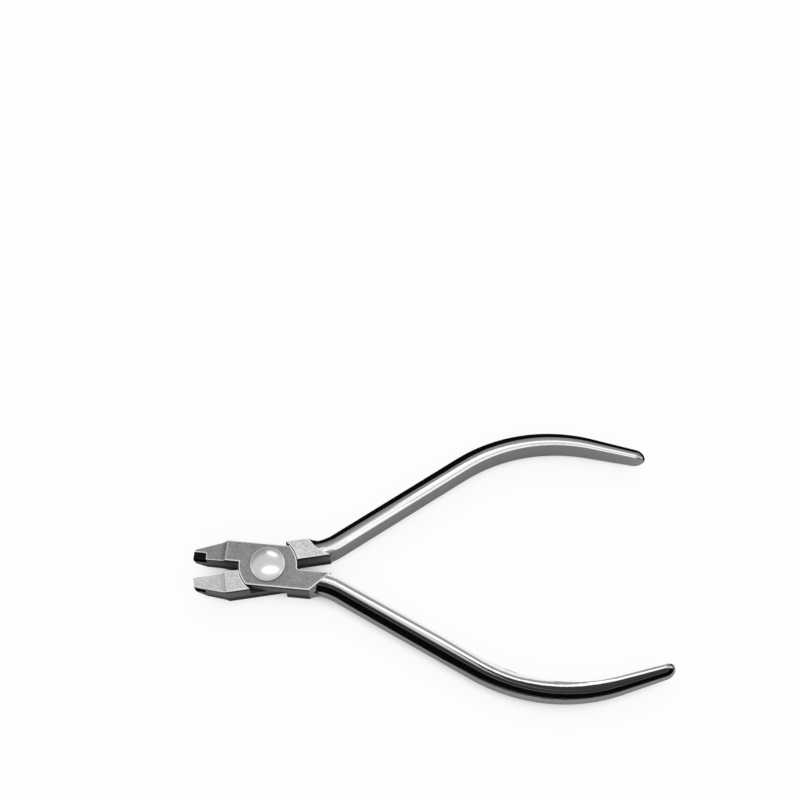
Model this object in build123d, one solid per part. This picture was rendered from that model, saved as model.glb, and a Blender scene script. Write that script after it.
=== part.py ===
from build123d import *
import os
from math import acos, asin, ceil, cos, degrees, radians, sin, sqrt, tan

# Orthodontic cutting pliers, about 132 mm long, lying flat with the jaws a little open.
# The pivot axis is Z through the origin, the back faces of the joint lie on z = 0,
# the jaws point along -X and the handles along +X.
# Both halves start as one forging: the back half is the front half turned over its long axis.

# Joint
joint_thickness = 9.4
joint_half_width = 6.0
lap_radius = 8.0
lap_face_gap = 0.04
shoulder_clearance = 0.25
block_reach = 11.9
jaw_seam = 0.25

# Nose, from the block to the tip
tip_reach = 20.8
tip_width = 2.8
tip_corner = 0.6
nose_recess = 1.1
nose_fall = 0.25
scoop_radius = 2.0
bevel_length = 3.0
bevel_rise = 2.3

# Carbide inserts and their solder seams
insert_overhang = 0.1
insert_meeting_gap = 0.02
upper_insert_length = 3.5
upper_insert_width = 2.1
upper_insert_height = 2.4
upper_insert_corner = 0.6
lower_insert_length = 3.1
lower_insert_height = 2.7
lower_insert_cover = 1.4
braze_thickness = 0.08

# Shank, the flat end of the handle
shank_seam = 0.5
shank_outer_reach = 12.0
shank_inner_reach = 17.4
shank_corner = 0.7
edge_break = 0.2
runout_radius = 5.0
runout_length = 4.5
runout_lip = 0.4
dish_radius = 10.5

# Handle: its inner face follows a line bent out at the splay and back in at the bow
handle_step = 0.06
splay_angle = 24.5
tail_angle = 20.3
splay_vertex_x = 17.5
bow_vertex_x = 77.7
handle_end_x = 111.4
splay_radius = 18.0
bow_radius = 48.0
handle_root_x = 10.5
handle_width = 5.45
handle_height = 9.28
crown_inset = 0.22
tail_width = 3.4
tail_height = 5.8
station_pitch = 4.0
end_rounding = 3.0
end_gather = 1.1
end_turns = (0, 35, 60, 80)

# Pivot rivet
pin_radius = 2.5
pin_clearance = 0.03
head_radius = 4.75
head_seat_gap = 0.03
head_wall = 1.0
head_dome = 0.7
head_rim = 0.25
tail_flare = 0.5

# Opening of the jaws in the rest pose, in degrees
rest_opening = 14.0

half_thickness = joint_thickness / 2


def prism(plan, low, high):
    """Straight solid over a plan, from one level to another."""
    return Pos(0, 0, low) * extrude(plan, high - low, dir=(0, 0, 1))


def side_cut(points_and_arcs, width):
    """Solid with the given outline in side view, as wide as the whole joint."""
    outline = Plane.XZ * make_face(Curve() + points_and_arcs)
    return extrude(outline, width, both=True)


def jaw_side_profile(reach, under):
    """Side view of a jaw: block, scoop, falling nose, tip bevelled on its under side (-1 or +1)."""
    nose_top = half_thickness - nose_recess
    scoop_end = block_reach + sqrt(scoop_radius**2 - (scoop_radius - nose_recess) ** 2)
    turn = acos(1 - nose_recess / scoop_radius) / 2
    middle_x = -scoop_end + scoop_radius * sin(turn)
    middle_z = nose_top + scoop_radius * (1 - cos(turn))
    bevel_start = tip_reach - bevel_length
    slope = nose_fall / (tip_reach - scoop_end)
    bevel_edge = nose_top - slope * (bevel_start - scoop_end)
    plain_tip = nose_top - slope * (reach - scoop_end)
    bevel_tip = bevel_edge - bevel_rise / bevel_length * (reach - bevel_start)
    ground = [(-scoop_end, nose_top), (-bevel_start, bevel_edge), (-reach, bevel_tip)]
    plain = [(-scoop_end, nose_top), (-reach, plain_tip)]
    above, below = (plain, ground) if under < 0 else (ground, plain)
    return side_cut(
        [
            Line((0, half_thickness), (-block_reach, half_thickness)),
            ThreePointArc((-block_reach, half_thickness), (middle_x, middle_z), (-scoop_end, nose_top)),
            Polyline(*above),
            Polyline(above[-1], *[(x, -z) for x, z in reversed(below)]),
            ThreePointArc((-scoop_end, -nose_top), (middle_x, -middle_z), (-block_reach, -half_thickness)),
            Polyline((-block_reach, -half_thickness), (0, -half_thickness), (0, half_thickness)),
        ],
        2 * joint_half_width,
    )


def jaw(reach, inner_face, under):
    """Jaw block beside the pivot and its tapered nose, out to a reach and in to an inner face."""
    taper = (joint_half_width - tip_width) / (tip_reach - block_reach)
    end_width = joint_half_width - taper * (reach - block_reach)
    plan = Polygon(
        (0, inner_face),
        (0, joint_half_width),
        (-block_reach, joint_half_width),
        (-reach, end_width),
        (-reach, inner_face),
        align=None,
    )
    corner = plan.vertices().sort_by_distance((-reach, end_width, 0))[0]
    plan = fillet(corner, tip_corner)
    return prism(plan, -half_thickness, half_thickness) & jaw_side_profile(reach, under)


def shank():
    """Flat end of the handle, hollowed out into the handle: straight across above, dished below."""
    outer = Vector(shank_outer_reach, -joint_half_width)
    inner = Vector(shank_inner_reach, -shank_seam)
    slant = (inner - outer).normalized()
    away = Vector(slant.Y, -slant.X)
    inside = inner + away * runout_length
    plan = Polygon(
        (0, -shank_seam),
        (inner.X, inner.Y),
        (inside.X, inside.Y),
        (outer.X + runout_length, outer.Y),
        (0, -joint_half_width),
        align=None,
    )
    slab = prism(plan, -half_thickness, half_thickness)
    runout = sqrt(runout_radius**2 - (runout_radius + runout_lip - half_thickness) ** 2)
    middle = runout / 2
    middle_height = runout_lip + runout_radius - sqrt(runout_radius**2 - (runout - middle) ** 2)
    straight = make_face(
        Curve()
        + [
            ThreePointArc((0, half_thickness), (middle, middle_height), (runout, runout_lip)),
            Polyline(
                (runout, runout_lip),
                (dish_radius, runout_lip),
                (dish_radius, half_thickness),
                (0, half_thickness),
            ),
        ]
    )
    dish = make_face(
        Curve()
        + [
            Polyline(
                (dish_radius, -half_thickness),
                (0, -half_thickness),
                (0, -runout_lip),
                (dish_radius - runout, -runout_lip),
            ),
            ThreePointArc(
                (dish_radius - runout, -runout_lip),
                (dish_radius - middle, -middle_height),
                (dish_radius, -half_thickness),
            ),
        ]
    )
    half_chord = (inner - outer).length / 2
    dish_centre = (outer + inner) / 2 + away * sqrt(dish_radius**2 - half_chord**2)
    above = extrude(Plane(origin=outer, x_dir=away, z_dir=slant * -1) * straight, dish_radius, both=True)
    below = Pos(dish_centre.X, dish_centre.Y, 0) * revolve(Plane.XZ * dish, Axis.Z)
    return slab - above - below


def handle_line():
    """Line that the flat inner face of the handle follows, seen from above."""
    start_y = -(shank_seam + handle_step)
    bow_y = start_y - tan(radians(splay_angle)) * (bow_vertex_x - splay_vertex_x)
    end_y = bow_y + tan(radians(tail_angle)) * (handle_end_x - bow_vertex_x)
    return FilletPolyline(
        (handle_root_x, start_y),
        (splay_vertex_x, start_y),
        (bow_vertex_x, bow_y),
        (handle_end_x, end_y),
        radius=[splay_radius, bow_radius],
    )


def thinning(line, distance):
    """Share of the taper reached at a distance: it grows through the bow and is even in the tail."""
    root, splay, straight, bow, tail = [run.length for run in line.edges().sort_by(line)]
    into_bow = max(0, distance - root - splay - straight)
    past_bow = max(0, into_bow - bow)
    return (min(into_bow, bow) ** 2 + 2 * bow * past_bow) / (bow * (bow + 2 * tail))


def handle_section(line, distance):
    """D-shaped section: an ellipse cut by the flat inner face, smaller towards the rounded end."""
    where = distance / line.length
    along = line % where
    outward = Vector(along.Y, -along.X)
    taper = thinning(line, distance)
    into_end = max(0, 1 - (line.length - distance) / end_rounding)
    scale = sqrt(1 - into_end**2)
    width = scale * (handle_width - taper * (handle_width - tail_width))
    height = scale * (handle_height - taper * (handle_height - tail_height))
    origin = line @ where + outward * end_gather * (1 - scale)
    crown = crown_inset * width
    past_crown = degrees(asin(crown / (width - crown)))
    turn = 180 + 2 * past_crown
    back = EllipticalCenterArc((crown, 0), width - crown, height / 2, start_angle=-turn / 2, arc_size=turn)
    outline = Curve() + [back, Line(back @ 1, back @ 0)]
    return Plane(origin=origin, x_dir=outward, z_dir=along) * make_face(outline)


def handle():
    """Round-backed handle with a rounded end: each bend is one loft, each straight run two."""
    line = handle_line()
    body = line.length - end_rounding
    stations = [body + end_rounding * sin(radians(turn)) for turn in end_turns]
    solid = loft([handle_section(line, station) for station in stations])
    start = 0
    for run in line.edges().sort_by(line):
        end = min(start + run.length, body)
        steps = 2 if run.geom_type == GeomType.LINE else ceil(run.length / station_pitch)
        stations = [start + (end - start) * step / steps for step in range(steps + 1)]
        sections = [handle_section(line, station) for station in stations]
        if run.geom_type == GeomType.LINE:
            solid += loft(sections[:2]) + loft(sections[1:])
        else:
            solid += loft(sections)
        start = end
    return solid


def upper_insert_block(margin):
    """Block set into the top of the upper tip; with a margin for the solder, its pocket."""
    root = upper_insert_length - tip_reach - insert_overhang + margin
    plan = Polygon(
        (root, insert_meeting_gap / 2),
        (root, upper_insert_width + margin),
        (-tip_reach - insert_overhang, upper_insert_width + margin),
        (-tip_reach - insert_overhang, insert_meeting_gap / 2),
        align=None,
    )
    corner = plan.vertices().sort_by_distance((root, upper_insert_width + margin, 0))[0]
    plan = fillet(corner, upper_insert_corner + margin)
    top = half_thickness - nose_recess
    return prism(plan, top - upper_insert_height - margin, half_thickness)


def lower_insert_block(margin):
    """Bar set into a slot across the lower tip; with a margin for the solder, its slot."""
    root = lower_insert_length - tip_reach - insert_overhang + margin
    plan = Polygon(
        (root, insert_meeting_gap / 2),
        (root, joint_half_width),
        (-tip_reach - insert_overhang, joint_half_width),
        (-tip_reach - insert_overhang, insert_meeting_gap / 2),
        align=None,
    )
    cover_side = -(half_thickness - nose_recess - lower_insert_cover)
    return prism(plan, cover_side - margin, cover_side + lower_insert_height + margin)


def half(under, insert_block):
    """One half as it looks with the jaws closed, its insert and its solder seam."""
    plain_jaw = jaw(tip_reach, jaw_seam, under)
    blade = insert_block(0) & jaw(tip_reach + insert_overhang, insert_meeting_gap / 2, under)
    pocket = insert_block(braze_thickness)
    seam = (plain_jaw & pocket) - blade
    forging = plain_jaw - pocket + shank()
    forging -= prism(Circle(lap_radius + shoulder_clearance), -half_thickness, lap_face_gap / 2)
    lap_plan = Circle(lap_radius) & Rectangle(2 * lap_radius, 2 * joint_half_width)
    forging += prism(lap_plan, lap_face_gap / 2, half_thickness)
    uprights = forging.edges().filter_by(Axis.Z)
    corner = uprights.sort_by_distance((lap_radius, -shank_seam, half_thickness / 2))[0]
    forging = fillet(corner, shank_corner)
    levels = forging.faces().filter_by(Axis.Z).group_by(Axis.Z)
    flats = levels[0] + levels[-1]
    forging = chamfer(flats.edges(), edge_break)
    return forging + handle(), blade, seam


def pivot_rivet():
    """Domed rivet: head on the front lap, shank through both laps, flared tail flush with the back."""
    seat = half_thickness + head_seat_gap
    rim = seat + head_wall
    dome_radius = (head_radius**2 + head_dome**2) / (2 * head_dome)
    outline = Curve() + [
        Polyline(
            (0, -half_thickness),
            (pin_radius + tail_flare, -half_thickness),
            (pin_radius, -half_thickness + tail_flare),
            (pin_radius, seat),
            (head_radius, seat),
            (head_radius, rim),
        ),
        RadiusArc((head_radius, rim), (0, rim + head_dome), -dome_radius),
        Line((0, rim + head_dome), (0, -half_thickness)),
    ]
    profile = make_face(outline)
    profile = chamfer(profile.vertices().sort_by_distance((head_radius, rim, 0))[0], head_rim)
    return revolve(Plane.XZ * profile, Axis.Z)


def write(name, shape):
    """Lift a piece so that the back faces lie on z = 0, and write it as its own part."""
    shape = Pos(0, 0, half_thickness) * shape
    shape.label = name
    export_step(shape, f"parts/{name}.step")
    print(name, round(shape.volume, 2))


os.makedirs("parts", exist_ok=True)
front_pose = Rot(0, 0, -rest_opening / 2)
back_pose = Rot(0, 0, rest_opening / 2) * Rot(180, 0, 0)
front, upper_blade, upper_seam = half(-1, upper_insert_block)
back, lower_blade, lower_seam = half(1, lower_insert_block)
rivet = pivot_rivet()
write("front_half", front_pose * (front - Cylinder(pin_radius + pin_clearance, 2 * joint_thickness)))
write("back_half", back_pose * back - rivet)
write("pivot_rivet", rivet)
write("upper_insert", front_pose * upper_blade)
write("lower_insert", back_pose * lower_blade)
write("upper_braze_seam", front_pose * upper_seam)
write("lower_braze_seam", back_pose * lower_seam)
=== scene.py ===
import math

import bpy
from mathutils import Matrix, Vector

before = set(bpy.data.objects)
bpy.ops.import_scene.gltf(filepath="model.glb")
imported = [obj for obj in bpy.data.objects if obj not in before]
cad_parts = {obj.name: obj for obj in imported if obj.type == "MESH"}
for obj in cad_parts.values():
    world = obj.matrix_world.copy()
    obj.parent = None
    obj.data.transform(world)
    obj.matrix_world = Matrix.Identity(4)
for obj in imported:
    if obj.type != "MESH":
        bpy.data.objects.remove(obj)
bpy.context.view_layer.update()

# %% [markdown]
# ## Orthodontic cutting pliers on a white table
# The tool is two steel forgings, one turned over against the other, held together by one rivet.
# Each jaw ends in a hard black insert, soldered into its tip. The imported model gives every solid
# in metres, in its place, so this lesson only dresses it: steel that is satin on the flats and
# mirror-bright on the handles, the inserts, the solder, and a small studio round the tool.

MM = 0.001

# %% [markdown]
# ## Camera
# The photograph looks down at the tool from about 31 cm above the table, 26 degrees off straight down.
# A camera can be set by eye, or worked out from points whose place on the tool is known. Working it
# out makes the outline fall where it does in the photograph, so that only the finish is left to judge.
# The photograph is cropped off centre, which is what the sideways shift is for.

# %% Camera
camera = bpy.data.objects.new("camera", bpy.data.cameras.new("camera"))
bpy.context.scene.collection.objects.link(camera)
camera.location = (23.4 * MM, -95.4 * MM, 309.3 * MM)
camera.rotation_euler = (math.radians(25.8), 0, math.radians(-1.5))
camera.data.sensor_width = 36
camera.data.lens = 50.985
camera.data.shift_x = 0.0475
camera.data.clip_start = 10 * MM
bpy.context.scene.camera = camera
print("camera is", round(camera.location.z / MM), "mm above the table")

# %% [markdown]
# ## Sums with nodes
# A material is a graph of nodes, and most nodes here are plain sums. Each could be written out where it
# is used, in four lines or more. One short function for each kind of sum keeps the finishes readable,
# and takes sockets and plain numbers alike, so that a mask can stand wherever a number can.


# %% Sums with nodes
def set_pins(links, pins, values):
    """Link or set each pin, depending on whether its value is a socket or a plain number."""
    for pin, value in zip(pins, values):
        if isinstance(value, bpy.types.NodeSocket):
            links.new(value, pin)
        else:
            pin.default_value = value


def math_node(nodes, links, operation, *values):
    """One sum."""
    node = nodes.new("ShaderNodeMath")
    node.operation = operation
    set_pins(links, node.inputs, values)
    return node.outputs[0]


def ramp_node(nodes, links, value, start, end, before=0.0, after=1.0):
    """One number up to the start and another from the end on, even in between."""
    node = nodes.new("ShaderNodeMapRange")
    pins = [node.inputs[label] for label in ("Value", "From Min", "From Max", "To Min", "To Max")]
    set_pins(links, pins, (value, start, end, before, after))
    return node.outputs["Result"]


def grey(nodes, links, value):
    """Colour with the same value in red, green and blue."""
    node = nodes.new("ShaderNodeCombineColor")
    set_pins(links, node.inputs, (value, value, value))
    return node.outputs[0]


def seen_straight(nodes, links):
    """One where a ray comes from the camera or from a mirror or glass, and zero elsewhere."""
    rays = nodes.new("ShaderNodeLightPath").outputs
    seen = math_node(nodes, links, "MAXIMUM", rays["Is Camera Ray"], rays["Is Glossy Ray"])
    return math_node(nodes, links, "MAXIMUM", seen, rays["Is Transmission Ray"])


print("sums:", [f.__name__ for f in (math_node, ramp_node, grey, seen_straight)])

# %% [markdown]
# ## Table and room
# The background is plain white, and the tool throws almost no shadow on it. A real light table does this: a
# white sheet lit from below as well as from above. So the sheet glows where the camera or a mirror sees it,
# which thins every shadow. Near the steel an ambient occlusion node dims that glow, a painted shade that
# leaves only narrow gaps grey.
# The room round it gives soft light from all sides, a little under full strength, so that
# pale surfaces keep their colour. Only what the camera or the metal sees of the room itself is full white.


# %% Table
def blank_material(name):
    """New material, with its nodes, its links and its shader."""
    material = bpy.data.materials.new(name)
    material.use_nodes = True
    tree = material.node_tree
    return material, tree.nodes, tree.links, tree.nodes["Principled BSDF"]


def stage_mesh(name, points, faces, material):
    """Sheet that belongs to the studio and not to the tool."""
    mesh = bpy.data.meshes.new(name)
    mesh.from_pydata(points, [], faces)
    mesh.materials.append(material)
    sheet = bpy.data.objects.new(name, mesh)
    bpy.context.scene.collection.objects.link(sheet)
    return sheet


table_half = 4.0
table_white, table_rough = 0.95, 0.7
table_glow = 0.86
gap_reach = 6 * MM
gap_shut, gap_open = 0.15, 0.6
gap_glow = 0.25
paint, nodes, links, shader = blank_material("white_table")
seen = seen_straight(nodes, links)
# Painted shade: ambient occlusion dims the table's glow, grey in narrow gaps beside the steel.
painted_gap_shade = nodes.new("ShaderNodeAmbientOcclusion")
painted_gap_shade.samples = 8
painted_gap_shade.inputs["Distance"].default_value = gap_reach
glow = ramp_node(nodes, links, painted_gap_shade.outputs["AO"], gap_shut, gap_open, before=gap_glow)
glow = math_node(nodes, links, "MULTIPLY", glow, seen)
glow = math_node(nodes, links, "MULTIPLY", glow, table_glow)
white = ramp_node(nodes, links, seen, 0, 1, before=table_white, after=table_white * (1 - table_glow))
links.new(grey(nodes, links, white), shader.inputs["Base Color"])
links.new(glow, shader.inputs["Emission Strength"])
shader.inputs["Emission Color"].default_value = (1, 1, 1, 1)
shader.inputs["Roughness"].default_value = table_rough
corners = [(-table_half, -table_half, 0), (table_half, -table_half, 0)]
corners += [(table_half, table_half, 0), (-table_half, table_half, 0)]
stage_mesh("table", corners, [(0, 1, 2, 3)], paint)
print("table is", 2 * table_half, "m across")

# %% Room
room_light, room_seen = 0.88, 1.0
room = bpy.data.worlds.new("white_room")
bpy.context.scene.world = room
room.use_nodes = True
nodes, links = room.node_tree.nodes, room.node_tree.links
strength = ramp_node(nodes, links, seen_straight(nodes, links), 0, 1, room_light, room_seen)
nodes["Background"].inputs["Color"].default_value = (1, 1, 1, 1)
links.new(strength, nodes["Background"].inputs["Strength"])
print("room light", room_light)

# %% [markdown]
# ## Lamps
# Two bright marks on the rivet's dome show two soft lamps: one nearly overhead and one behind the tool.
# The direction of each follows from where its mark sits on the dome, and its size from the mark's size.


# %% Lamps
def lamp(name, direction, distance, width, depth, turn, brightness):
    """Soft oval lamp in a direction from the rivet, as bright to the eye as asked."""
    data = bpy.data.lights.new(name, "AREA")
    data.shape = "ELLIPSE"
    data.size = width
    data.size_y = depth
    area = math.pi * width * depth / 4
    data.energy = brightness * math.pi * area
    light = bpy.data.objects.new(name, data)
    bpy.context.scene.collection.objects.link(light)
    away = Vector(direction).normalized()
    aim = away.to_track_quat("Z", "Y").to_matrix() @ Matrix.Rotation(math.radians(turn), 3, "Z")
    light.location = away * distance
    light.rotation_euler = aim.to_euler()
    light.visible_camera = False
    print(name, "area", round(area, 3), "m2")


lamp("lamp_overhead", (0.025, 0.055, 0.99), distance=0.8, width=0.45, depth=0.18, turn=26, brightness=2.0)
lamp("lamp_behind", (0.07, 0.59, 0.80), distance=1.0, width=0.36, depth=0.14, turn=-18, brightness=1.6)

# %% [markdown]
# ## Cards for the mirror finish
# A polished handle shows no colour of its own: its dark bands are dark things round the table.
# Photographers stand black cards beside such steel to draw its shape. A tall one in front darkens
# towards the table, and a grey one stands behind. On the table lie sheets that only the steel shows.
# The camera doesn't see the cards, and they take no light away.
#
# Each card is as bright as its stops say. A stop is a share of the card's height and the brightness
# there. The front card is black up to the height that the handle's black band shows, with one faint
# light line in it, and brightens above.


# %% Standing cards
def card_material(name, stops):
    """Card that is as bright as the stops say, from its lower edge to its upper edge."""
    material, nodes, links, _ = blank_material(name)
    nodes.clear()
    split = nodes.new("ShaderNodeSeparateXYZ")
    ramp = nodes.new("ShaderNodeValToRGB")
    glow = nodes.new("ShaderNodeEmission")
    out = nodes.new("ShaderNodeOutputMaterial")
    links.new(nodes.new("ShaderNodeTexCoord").outputs["Generated"], split.inputs[0])
    links.new(split.outputs["Z"], ramp.inputs["Fac"])
    links.new(ramp.outputs["Color"], glow.inputs["Color"])
    links.new(glow.outputs[0], out.inputs["Surface"])
    points = ramp.color_ramp.elements
    for height, _ in stops[1:-1]:
        points.new(height)
    for point, (_, value) in zip(points, stops):
        point.color = (value, value, value, 1)
    return material


def card(name, points, faces, material):
    """Sheet that only mirrors show."""
    sheet = stage_mesh(name, points, faces, material)
    sheet.visible_camera = False
    sheet.visible_diffuse = False
    sheet.visible_shadow = False


def standing_card(name, line, high, stops):
    """Card that stands on the table on a line seen from above."""
    points = [(x, y, z) for x, y in line for z in (0, high)]
    faces = [(2 * k, 2 * k + 2, 2 * k + 3, 2 * k + 1) for k in range(len(line) - 1)]
    card(name, points, faces, card_material(name, stops))
    print(name, "is", high, "m high")


def arc(radius, start, end, steps=24):
    """Points on a circle round the rivet, between two directions in degrees."""
    turns = [math.radians(start + (end - start) * step / steps) for step in range(steps + 1)]
    return [(radius * math.cos(turn), radius * math.sin(turn)) for turn in turns]


room_radius = 0.9
front_top, rear_top = 1.9, 1.15
front_stops = [(0, 0.004), (0.28, 0.004), (0.32, 0.02), (0.345, 0.16), (0.38, 0.12), (0.42, 0.03)]
front_stops += [(0.55, 0.045), (0.73, 0.08), (0.92, 0.35), (1, 0.8)]
rear_stops = [(0, 0.03), (0.09, 0.12), (0.19, 0.28), (0.36, 0.36), (0.7, 0.46), (1, 0.6)]
standing_card("card_front", arc(room_radius, -162, 0), front_top, front_stops)
standing_card("card_rear", arc(room_radius, 15, 165), rear_top, rear_stops)

# %% [markdown]
# The handles also mirror the table. Close to the tool it is a plain mid grey, which the tool shades as it
# would shade a real sheet, so the bands fade where steel meets table. Further out it is dark, and in front
# of the bow it is a dim grey, which the photograph shows as a dim line above the grey one.


# %% Lying cards
def lying_card(name, outline, height, material):
    """Card that lies flat over an outline seen from above."""
    card(name, [(x, y, height) for x, y in outline], [tuple(range(len(outline)))], material)
    print(name, "has", len(outline), "corners")


def grey_card(name, outline, height, value):
    """Lying card of grey paper, which the tool shades. The outline is in millimetres."""
    material, _, _, shader = blank_material(name)
    shader.inputs["Base Color"].default_value = (value, value, value, 1)
    shader.inputs["Roughness"].default_value = card_rough
    lying_card(name, [(x * MM, y * MM) for x, y in outline], height, material)


card_rough = 0.8
dark_stops = [(0, 0.004), (1, 0.006)]
dim_value, grey_value = 0.055, 0.4
dark_height, dim_height, grey_height = 0.05 * MM, 0.08 * MM, 0.1 * MM
dim_outline = [(40, -34), (40, -180), (150, -180), (150, -34)]
grey_outline = [(-36, -16), (-20, -22), (14, -24), (40, -36), (66, -62), (96, -66), (128, -50)]
grey_outline += [(128, 20), (104, 32), (84, 38), (66, 36), (44, 26), (16, 13), (-20, 18), (-36, 14)]
dark_outline = arc(room_radius, 0, 345, 23)
lying_card("card_dark", dark_outline, dark_height, card_material("card_dark", dark_stops))
grey_card("card_dim", dim_outline, dim_height, dim_value)
grey_card("card_grey", grey_outline, grey_height, grey_value)

# %% [markdown]
# ## Cards that follow the handles
# The white lines along the handles keep their place from the joint to the tip, round both bends. A lamp
# that stands still can't do that: its mark would wander over the steel. A narrow white card that follows
# each handle does. The card goes where steel at a chosen tilt shows it to the camera: the tilt is how far
# the round back leans outwards from level, so the line lands on that part of it. Dim cards do the same
# for the thin dark line between two white ones and for the dark flanks.
#
# First come the points that the cards follow. A half is drawn in its own frame, with the handle pointing
# along X. It turns by seven degrees to its place, and the back half is first turned over its long axis.
# The handle's inner face follows four runs, each a length and the degrees that it turns through.

# %% Points along a handle
half_opening = math.radians(7)
half_place = {
    "front_half": Matrix.Rotation(-half_opening, 3, "Z"),
    "back_half": Matrix.Rotation(half_opening, 3, "Z") @ Matrix.Rotation(math.pi, 3, "X"),
}
handle_start = Vector((13.6, -0.56, 0)) * MM
handle_runs = [(7.7, -24.5), (42.5, 0), (37.5, 44.8), (16.1, 0)]
crown_inset = 1.2 * MM
crown_height = 9.3 * MM


def handle_stations(name, pitch=2 * MM):
    """Points on the crown of a handle, each with its direction outwards, in order from the joint."""
    point, heading = handle_start.copy(), 0
    stations = []
    for length, turn in handle_runs:
        steps = math.ceil(length * MM / pitch)
        for step in range(steps):
            heading += math.radians(turn) / steps
            point += Vector((math.cos(heading), math.sin(heading), 0)) * length * MM / steps
            outward = Vector((math.sin(heading), -math.cos(heading), 0))
            crown = half_place[name] @ (point + outward * crown_inset)
            stations.append((Vector((crown.x, crown.y, crown_height)), half_place[name] @ outward))
    return stations


print("stations on a handle:", len(handle_stations("front_half")))

# %% [markdown]
# Each card is given by stops: a share of the way to the tip, and the two tilts between which the card
# shows there. The photograph's white line comes nearer to the inner edge in the bow, so the tilts change
# on the way.


# %% Cards that follow the handles
def mirrored(place, outward, tilt):
    """Direction in which steel at a place, tilted outwards by some degrees, mirrors the camera."""
    normal = outward * math.sin(math.radians(tilt)) + Vector((0, 0, math.cos(math.radians(tilt))))
    view = (camera.location - place).normalized()
    return 2 * normal.dot(view) * normal - view


def between(stops, share):
    """Values of the stops at a share of the way, in a straight line from each stop to the next."""
    for (start, *low), (end, *high) in zip(stops, stops[1:]):
        if share <= end:
            part = (share - start) / (end - start)
            return [a + (b - a) * part for a, b in zip(low, high)]
    return stops[-1][1:]


def handle_card(name, half, tilts, distance, brightness):
    """Card along a handle that shows on it between two tilts."""
    stations = handle_stations(half)
    points = []
    for index, (place, outward) in enumerate(stations):
        for tilt in between(tilts, index / len(stations)):
            points.append(place + mirrored(place, outward, tilt) * distance)
    faces = [(k, k + 1, k + 3, k + 2) for k in range(0, len(points) - 2, 2)]
    card(name, points, faces, card_material(name, [(0, brightness), (1, brightness)]))


near_edge = [(0, -18, -8), (0.35, -21, -11), (0.55, -14, -4), (0.78, -34, -25), (1, -26, -14)]
near_dip = [(0, -8, 6), (0.35, -11, 0), (0.55, -4, 6), (0.78, -25, -14), (1, -14, -5)]
near_back = [(0, 6, 15), (0.35, 0, 11), (0.55, 6, 12), (0.78, -14, -3), (1, -5, 3)]
near_flank = [(0, 15, 15.5), (0.35, 12, 13), (0.55, 12, 22), (0.78, -2, 20), (1, 6, 14)]
far_edge = [(0, -19, -11), (1, -19, -11)]
far_back = [(0, -4, 5), (1, -4, 5)]
far_flank = [(0, 34, 52), (0.4, 26, 46), (1, 24, 44)]
card_distance, far_flank_distance = 18 * MM, 25 * MM
handle_card("card_near_edge", "front_half", near_edge, card_distance, brightness=1.4)
handle_card("card_near_dip", "front_half", near_dip, card_distance, brightness=0.5)
handle_card("card_near_back", "front_half", near_back, card_distance, brightness=1.7)
handle_card("card_near_flank", "front_half", near_flank, card_distance, brightness=0.06)
handle_card("card_far_edge", "back_half", far_edge, card_distance, brightness=1.4)
handle_card("card_far_back", "back_half", far_back, card_distance, brightness=1.6)
handle_card("card_far_flank", "back_half", far_flank, far_flank_distance, brightness=0.005)

# %% [markdown]
# ## Rounded edge and edge highlight
# Every edge of a used tool is rolled over a little by polishing and handling, and it catches the light.
# The edges could be rounded in the mesh, but on imported solids that means cutting hundreds of small faces.
# The Bevel node rounds only the shading, over a width that is given, and comparing the rounded
# normal with the plain one tells where an edge is: the two agree fully, at one, away from every edge.
# The group gives the mask and the rounded normal, for every metal here. The rounded normal is real shading;
# the mask marks where edges are painted pale, a painted highlight.


# %% Rounded edge and highlight group
def vector_node(nodes, links, operation, *values):
    """One sum with vectors."""
    node = nodes.new("ShaderNodeVectorMath")
    node.operation = operation
    set_pins(links, node.inputs, values)
    return node


def new_group(name, inputs, outputs):
    """Empty node group with the named inputs and outputs."""
    group = bpy.data.node_groups.new(name, "ShaderNodeTree")
    for label, kind, value in inputs:
        socket = group.interface.new_socket(label, in_out="INPUT", socket_type=kind)
        if value is not None:
            socket.default_value = value
    for label, kind in outputs:
        group.interface.new_socket(label, in_out="OUTPUT", socket_type=kind)
    return group, group.nodes.new("NodeGroupInput"), group.nodes.new("NodeGroupOutput")


FLOAT, VECTOR = "NodeSocketFloat", "NodeSocketVector"
edge_starts, edge_is_full = 0.995, 0.93
rounded_edge_and_highlight, given, result = new_group(
    "rounded_edge_and_highlight", [("Width", FLOAT, 0.2 * MM)], [("Mask", FLOAT), ("Normal", VECTOR)]
)
nodes, links = rounded_edge_and_highlight.nodes, rounded_edge_and_highlight.links
rounded = nodes.new("ShaderNodeBevel")
rounded.samples = 8
links.new(given.outputs["Width"], rounded.inputs["Radius"])
plain = nodes.new("ShaderNodeNewGeometry").outputs["Normal"]
agree = vector_node(nodes, links, "DOT_PRODUCT", rounded.outputs[0], plain).outputs["Value"]
links.new(ramp_node(nodes, links, agree, edge_starts, edge_is_full), result.inputs["Mask"])
links.new(rounded.outputs[0], result.inputs["Normal"])
print("group rounded_edge_and_highlight:", len(nodes), "nodes")

# %% [markdown]
# ## Blasted grain
# The flats and jaws are dull: fine glass beads are blown at them, which leaves a grain much finer than
# a millimetre, over faint cloudy patches. Two noises make it, a fine one for the grain and a broad one for
# the clouds. The shade that comes out is one on average, so that a colour times the shade keeps its level.
# The same group serves the smears on the polish, the rivet, the solder and the inserts with other sizes.


# %% Blasted grain group
def noise_of_size(nodes, links, size, detail):
    """Noise whose spots have the given size."""
    noise = nodes.new("ShaderNodeTexNoise")
    noise.inputs["Detail"].default_value = detail
    links.new(nodes.new("ShaderNodeTexCoord").outputs["Object"], noise.inputs["Vector"])
    links.new(math_node(nodes, links, "DIVIDE", 1, size), noise.inputs["Scale"])
    return noise.outputs["Fac"]


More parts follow.
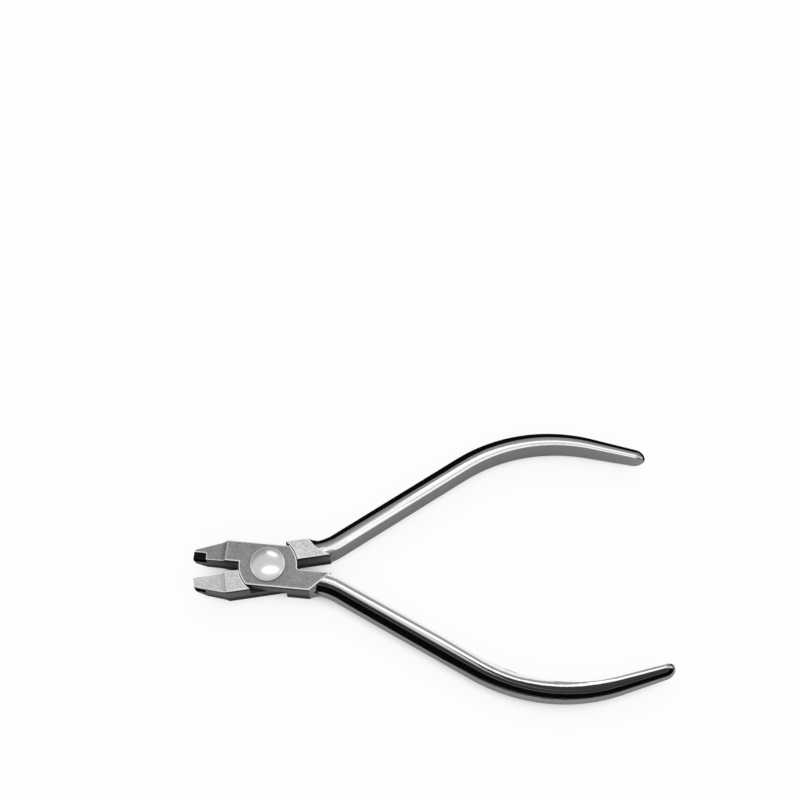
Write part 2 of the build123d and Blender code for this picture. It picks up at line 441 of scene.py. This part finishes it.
cloud_share = 0.35
blasted, given, result = new_group(
    "blasted_grain",
    [("Grain size", FLOAT, 0.1 * MM), ("Cloud size", FLOAT, 1.5 * MM), ("Contrast", FLOAT, 0.2)],
    [("Shade", FLOAT), ("Height", FLOAT)],
)
nodes, links = blasted.nodes, blasted.links
grain = noise_of_size(nodes, links, given.outputs["Grain size"], detail=2)
cloud = noise_of_size(nodes, links, given.outputs["Cloud size"], detail=3)
both = math_node(nodes, links, "MULTIPLY_ADD", cloud, cloud_share, grain)
centred = math_node(nodes, links, "SUBTRACT", both, (1 + cloud_share) / 2)
shade = math_node(nodes, links, "MULTIPLY_ADD", centred, given.outputs["Contrast"], 1)
links.new(shade, result.inputs["Shade"])
links.new(grain, result.inputs["Height"])
print("group blasted_grain:", len(nodes), "nodes")

# %% [markdown]
# ## Where the polish begins
# On each half the satin flat stops at the shank and the mirror polish begins. One face stops at a
# straight slanted line, the other at a hollow arc, because the forging is dressed by hand on a wheel
# of another shape on each side. The group works out both from the place on the tool, and picks one by the
# side of the middle plane that the place is on. Past the line all is polished, on both sides.


# %% Group for the start of the polish
def mix_node(nodes, links, mask, low, high):
    """Low where the mask is zero and high where it is one."""
    node = nodes.new("ShaderNodeMix")
    set_pins(links, (node.inputs[0], node.inputs[2], node.inputs[3]), (mask, low, high))
    return node.outputs[0]


polish_fade = 0.12 * MM
polish_start, given, result = new_group(
    "polish_start",
    [
        ("Line point", VECTOR, None),
        ("Line away", VECTOR, None),
        ("Arc centre", VECTOR, None),
        ("Arc radius", FLOAT, 10 * MM),
        ("Middle height", FLOAT, 5 * MM),
        ("Line side", FLOAT, 1),
    ],
    [("Mask", FLOAT)],
)
nodes, links = polish_start.nodes, polish_start.links
place = nodes.new("ShaderNodeTexCoord").outputs["Object"]
from_point = vector_node(nodes, links, "SUBTRACT", place, given.outputs["Line point"]).outputs[0]
past_line = vector_node(nodes, links, "DOT_PRODUCT", from_point, given.outputs["Line away"])
on_plan = vector_node(nodes, links, "MULTIPLY", place, (1, 1, 0)).outputs[0]
from_centre = vector_node(nodes, links, "DISTANCE", on_plan, given.outputs["Arc centre"])
inside_arc = math_node(
    nodes, links, "SUBTRACT", given.outputs["Arc radius"], from_centre.outputs["Value"]
)
split = nodes.new("ShaderNodeSeparateXYZ")
links.new(place, split.inputs[0])
above = math_node(nodes, links, "SUBTRACT", split.outputs["Z"], given.outputs["Middle height"])
above = math_node(nodes, links, "MULTIPLY", above, given.outputs["Line side"])
line_side = math_node(nodes, links, "GREATER_THAN", above, 0)
line_mask = ramp_node(nodes, links, past_line.outputs["Value"], 0, polish_fade)
arc_mask = ramp_node(nodes, links, inside_arc, 0, polish_fade)
arc_mask = math_node(nodes, links, "MAXIMUM", arc_mask, line_mask)
links.new(mix_node(nodes, links, line_side, arc_mask, line_mask), result.inputs["Mask"])
print("group polish_start:", len(nodes), "nodes")

# %% [markdown]
# ## Bevel faces
# A bevel between two faces is a face of its own in the model, which the rounded edge group can't tell from
# any other: its own middle isn't an edge. It is known by its tilt instead, neither level nor upright. The
# tilt is the height of the face's normal: one on a level face and zero on an upright one. Its mask marks
# bevels that are painted pale, a painted highlight.

# %% Group for bevel faces
level_from, level_full = 0.1, 0.3
bevel_from, bevel_full = 0.4, 0.5
bevel_fades, bevel_ends = 0.8, 0.9
bevel_face, given, result = new_group("bevel_face", [], [("Mask", FLOAT), ("Level", FLOAT)])
nodes, links = bevel_face.nodes, bevel_face.links
split = nodes.new("ShaderNodeSeparateXYZ")
links.new(nodes.new("ShaderNodeNewGeometry").outputs["True Normal"], split.inputs[0])
tilt = math_node(nodes, links, "ABSOLUTE", split.outputs["Z"])
slanted = ramp_node(nodes, links, tilt, bevel_from, bevel_full)
flat = ramp_node(nodes, links, tilt, bevel_fades, bevel_ends)
links.new(math_node(nodes, links, "SUBTRACT", slanted, flat), result.inputs["Mask"])
links.new(ramp_node(nodes, links, tilt, level_from, level_full), result.inputs["Level"])
print("group bevel_face:", len(nodes), "nodes")

# %% [markdown]
# ## Steel of the two halves
# Each forging has three finishes: blasted on the flats and on the nose, ground on the upright sides, and
# polished to a mirror from the end of the flat to the tip of the handle. They could be separate meshes,
# but on the real tool they are one skin, so one material goes over the whole half, and masks say which
# finish is where.
#
# The line and the arc at which the polish begins end on the same two corners of the shank. They are
# worked out in the half's own frame and turned to its place.

# %% Line and arc on both halves
shank_outer = Vector((12.0, -6.0, 0)) * MM
shank_inner = Vector((17.4, -0.5, 0)) * MM
dish_radius = 10.5 * MM
middle_height = 4.7 * MM
half_side = {"front_half": 1, "back_half": -1}
chord = shank_inner - shank_outer
away = Vector((chord.y, -chord.x, 0)).normalized()
dish_depth = math.sqrt(dish_radius**2 - (chord.length / 2) ** 2)
dish_centre = (shank_outer + shank_inner) / 2 + away * dish_depth


def group_node(nodes, group, **values):
    """One use of a group. The values set its inputs, whose names they give with _ for a space."""
    node = nodes.new("ShaderNodeGroup")
    node.node_tree = group
    for label, value in values.items():
        node.inputs[label.replace("_", " ")].default_value = value
    return node.outputs


def polish_node(nodes, name):
    """Start of the polish on a half."""
    return group_node(
        nodes,
        polish_start,
        Line_point=half_place[name] @ shank_outer,
        Line_away=half_place[name] @ away,
        Arc_centre=half_place[name] @ dish_centre,
        Arc_radius=dish_radius,
        Middle_height=middle_height,
        Line_side=half_side[name],
    )["Mask"]


print("arc centre, mm:", [round(c / MM, 2) for c in dish_centre])

# %% [markdown]
# The bevel round each flat and the edges of the pockets are painted pale: a painted highlight. Just under
# the bevel the side is painted dark in a thin line, a painted reflection of the black card, and at the foot
# the side is painted dark, a painted shade between steel and table. The two lapped faces inside the joint
# are painted nearly black, a painted shade in the gap between the halves. Every one of these places is
# known by its height and by the tilt of its face.

# %% Masks of a half
rim_width = 0.4 * MM
rim_reach = 4.45 * MM
lap_reach = 0.5 * MM
line_low, line_high = 7.3 * MM, 8.3 * MM
foot_height, foot_floor = 4.2 * MM, 2.2 * MM


def half_masks(nodes, links, name):
    """Masks that say where each finish of a half is, and where painted highlight and painted shade go."""
    polished = polish_node(nodes, name)
    face = group_node(nodes, bevel_face)
    edge = group_node(nodes, rounded_edge_and_highlight, Width=rim_width)
    split = nodes.new("ShaderNodeSeparateXYZ")
    links.new(nodes.new("ShaderNodeTexCoord").outputs["Object"], split.inputs[0])
    height = split.outputs["Z"]
    from_middle = math_node(nodes, links, "SUBTRACT", height, middle_height)
    from_middle = math_node(nodes, links, "ABSOLUTE", from_middle)
    lap = math_node(nodes, links, "LESS_THAN", from_middle, lap_reach)
    at_rim = math_node(nodes, links, "GREATER_THAN", from_middle, rim_reach)
    # Painted highlight: bevels at the top and bottom rims, and pocket edges away from the lap, are marked
    # to be painted pale.
    rim = math_node(nodes, links, "MULTIPLY", face["Mask"], at_rim)
    pocket_edge = math_node(nodes, links, "MULTIPLY", edge["Mask"], face["Level"])
    pocket_edge = mix_node(nodes, links, lap, pocket_edge, 0)
    rim = math_node(nodes, links, "MAXIMUM", rim, pocket_edge)
    return {
        "level": face["Level"],
        "lap": lap,
        "polished": polished,
        "rim": mix_node(nodes, links, polished, rim, 0),
        # Places of the painted dark line and the painted foot shade on the sides.
        "line": ramp_node(nodes, links, height, line_low, line_high),
        "foot": ramp_node(nodes, links, height, foot_height, foot_floor),
    }


def by_finish(nodes, links, masks, side, flat, mirror, rim):
    """What a place gets: one of four, by the finish that is there, or the painted highlight on a rim."""
    value = mix_node(nodes, links, masks["level"], side, flat)
    value = mix_node(nodes, links, masks["polished"], value, mirror)
    return mix_node(nodes, links, masks["rim"], value, rim)


lap_band = [round((middle_height + side * lap_reach) / MM, 1) for side in (-1, 1)]
print("lapped faces lie between, mm:", lap_band)

# %% [markdown]
# The front half came out of the blasting darker than the back one. A blasted flat scatters light like paint
# does, so it counts as only half a metal and keeps its grey from every side. A rubbed bevel is so narrow
# that it reads as white whatever it mirrors, so it is painted pale and hardly metallic, a painted
# highlight.
# The polish has faint smears, which change only its roughness.

# %% Steel of a half
flat_value = {"front_half": 0.235, "back_half": 0.53}
flat_rough = {"front_half": 0.42, "back_half": 0.38}
flat_metal = 0.55
side_value, side_rough = 0.33, 0.36
mirror_value, mirror_rough = 0.62, 0.06
# The pale rim value is a painted highlight.
rim_value, rim_rough, rim_metal = 0.95, 0.5, 0.15
# The lap value is painted shade in the gap inside the joint.
painted_lap_shade = 0.03
# The line and foot values are painted shade on the sides.
line_shade, foot_shade = 0.08, 0.08
blast_depth = 0.02 * MM
smooth_height = 0.5
bump_strength = 0.5


def half_value(nodes, links, masks, shade, name):
    """How pale each place of a half is."""
    side = math_node(nodes, links, "MULTIPLY", shade, side_value)
    # Painted shade: each side is darkened in a thin line under the top bevel and at its foot.
    for label, dark in (("line", line_shade), ("foot", foot_shade)):
        side = math_node(
            nodes, links, "MULTIPLY", side, mix_node(nodes, links, masks[label], 1, dark)
        )
    flat = math_node(nodes, links, "MULTIPLY", shade, flat_value[name])
    # Painted shade: the lapped faces are painted nearly black.
    flat = mix_node(nodes, links, masks["lap"], flat, painted_lap_shade)
    return by_finish(nodes, links, masks, side, flat, mirror_value, rim_value)


def bump_node(nodes, links, height, depth):
    """Bump with heights as deep as given."""
    bump = nodes.new("ShaderNodeBump")
    bump.inputs["Strength"].default_value = bump_strength
    bump.inputs["Distance"].default_value = depth
    links.new(height, bump.inputs["Height"])
    return bump


def half_steel(name):
    """Steel of one half: blasted, ground and polished by place, with painted highlight on its rims and
    painted shade on its sides and lapped faces.
    """
    material, nodes, links, shader = blank_material("steel_" + name)
    masks = half_masks(nodes, links, name)
    grain = group_node(nodes, blasted, Grain_size=0.4 * MM, Cloud_size=2.5 * MM, Contrast=1.2)
    smear = group_node(nodes, blasted, Grain_size=0.9 * MM, Cloud_size=6 * MM, Contrast=0.5)
    value = half_value(nodes, links, masks, grain["Shade"], name)
    links.new(grey(nodes, links, value), shader.inputs["Base Color"])
    smeared = math_node(nodes, links, "MULTIPLY", smear["Shade"], mirror_rough)
    rough = by_finish(nodes, links, masks, side_rough, flat_rough[name], smeared, rim_rough)
    links.new(rough, shader.inputs["Roughness"])
    metal = by_finish(nodes, links, masks, 1, flat_metal, 1, rim_metal)
    links.new(metal, shader.inputs["Metallic"])
    height = mix_node(nodes, links, masks["polished"], grain["Height"], smooth_height)
    links.new(bump_node(nodes, links, height, blast_depth).outputs[0], shader.inputs["Normal"])
    return material


def dress(name, material):
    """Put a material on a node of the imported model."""
    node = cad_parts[name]
    node.data.materials.clear()
    node.data.materials.append(material)
    print(name, "wears", material.name)


for name in half_place:
    dress(name, half_steel(name))

# %% [markdown]
# ## Rivet, inserts and solder
# The rivet's head is tumbled smooth, a little softer than the handles, and domed. Its bright marks come
# from the lamps, and its rim is painted as pale as the rims of the flats, a painted highlight. The inserts
# are sintered carbide, nearly black, with a fine grain. The solder round them is a duller white metal. All
# three are one recipe with other numbers: grain in the shade, the roughness and the height, and rounded
# edges painted paler, a painted highlight.


# %% Rivet, inserts and solder
def simple_metal(
    name, value, rough, grain_size, contrast, depth, edge_highlight_value, edge_metal, edge_width, tint=1
):
    """Grainy metal with rounded edges painted to their own colour, a painted highlight. A low tint keeps it
    dark at a glancing angle.
    """
    material, nodes, links, shader = blank_material(name)
    edge = group_node(nodes, rounded_edge_and_highlight, Width=edge_width)
    face = group_node(nodes, bevel_face)
    edge_highlight = math_node(nodes, links, "MAXIMUM", edge["Mask"], face["Mask"])
    grain = group_node(
        nodes, blasted, Grain_size=grain_size, Cloud_size=12 * grain_size, Contrast=contrast
    )
    shaded = math_node(nodes, links, "MULTIPLY", grain["Shade"], value)
    # Painted highlight: edges and bevels take the edge colour.
    shaded = mix_node(nodes, links, edge_highlight, shaded, edge_highlight_value)
    links.new(grey(nodes, links, shaded), shader.inputs["Base Color"])
    shaded_rough = math_node(nodes, links, "MULTIPLY", grain["Shade"], rough)
    links.new(shaded_rough, shader.inputs["Roughness"])
    shader.inputs["Specular Tint"].default_value = (tint, tint, tint, 1)
    shader.inputs["Metallic"].default_value = 1
    if edge_metal < 1:
        links.new(mix_node(nodes, links, edge_highlight, 1, edge_metal), shader.inputs["Metallic"])
    bump = bump_node(nodes, links, grain["Height"], depth)
    links.new(edge["Normal"], bump.inputs["Normal"])
    links.new(bump.outputs[0], shader.inputs["Normal"])
    return material


rivet = simple_metal(
    "steel_rivet", value=0.58, rough=0.16, grain_size=0.3 * MM, contrast=0.2, depth=0.001 * MM,
    edge_highlight_value=0.97, edge_metal=0.2, edge_width=0.3 * MM,
)
carbide = simple_metal(
    "carbide", value=0.008, rough=0.3, grain_size=0.08 * MM, contrast=0.5, depth=0.004 * MM,
    edge_highlight_value=0.03, edge_metal=1, edge_width=0.12 * MM, tint=0.05,
)
solder = simple_metal(
    "silver_solder", value=0.5, rough=0.4, grain_size=0.2 * MM, contrast=0.3, depth=0.01 * MM,
    edge_highlight_value=0.7, edge_metal=1, edge_width=0.05 * MM,
)
dress("pivot_rivet", rivet)
dress("upper_insert", carbide)
dress("lower_insert", carbide)
dress("upper_braze_seam", solder)
dress("lower_braze_seam", solder)

# %% [markdown]
# ## Finish
# Colours are shown as they are, with no film look over them.

# %% Finish
bpy.context.scene.view_settings.view_transform = "Standard"
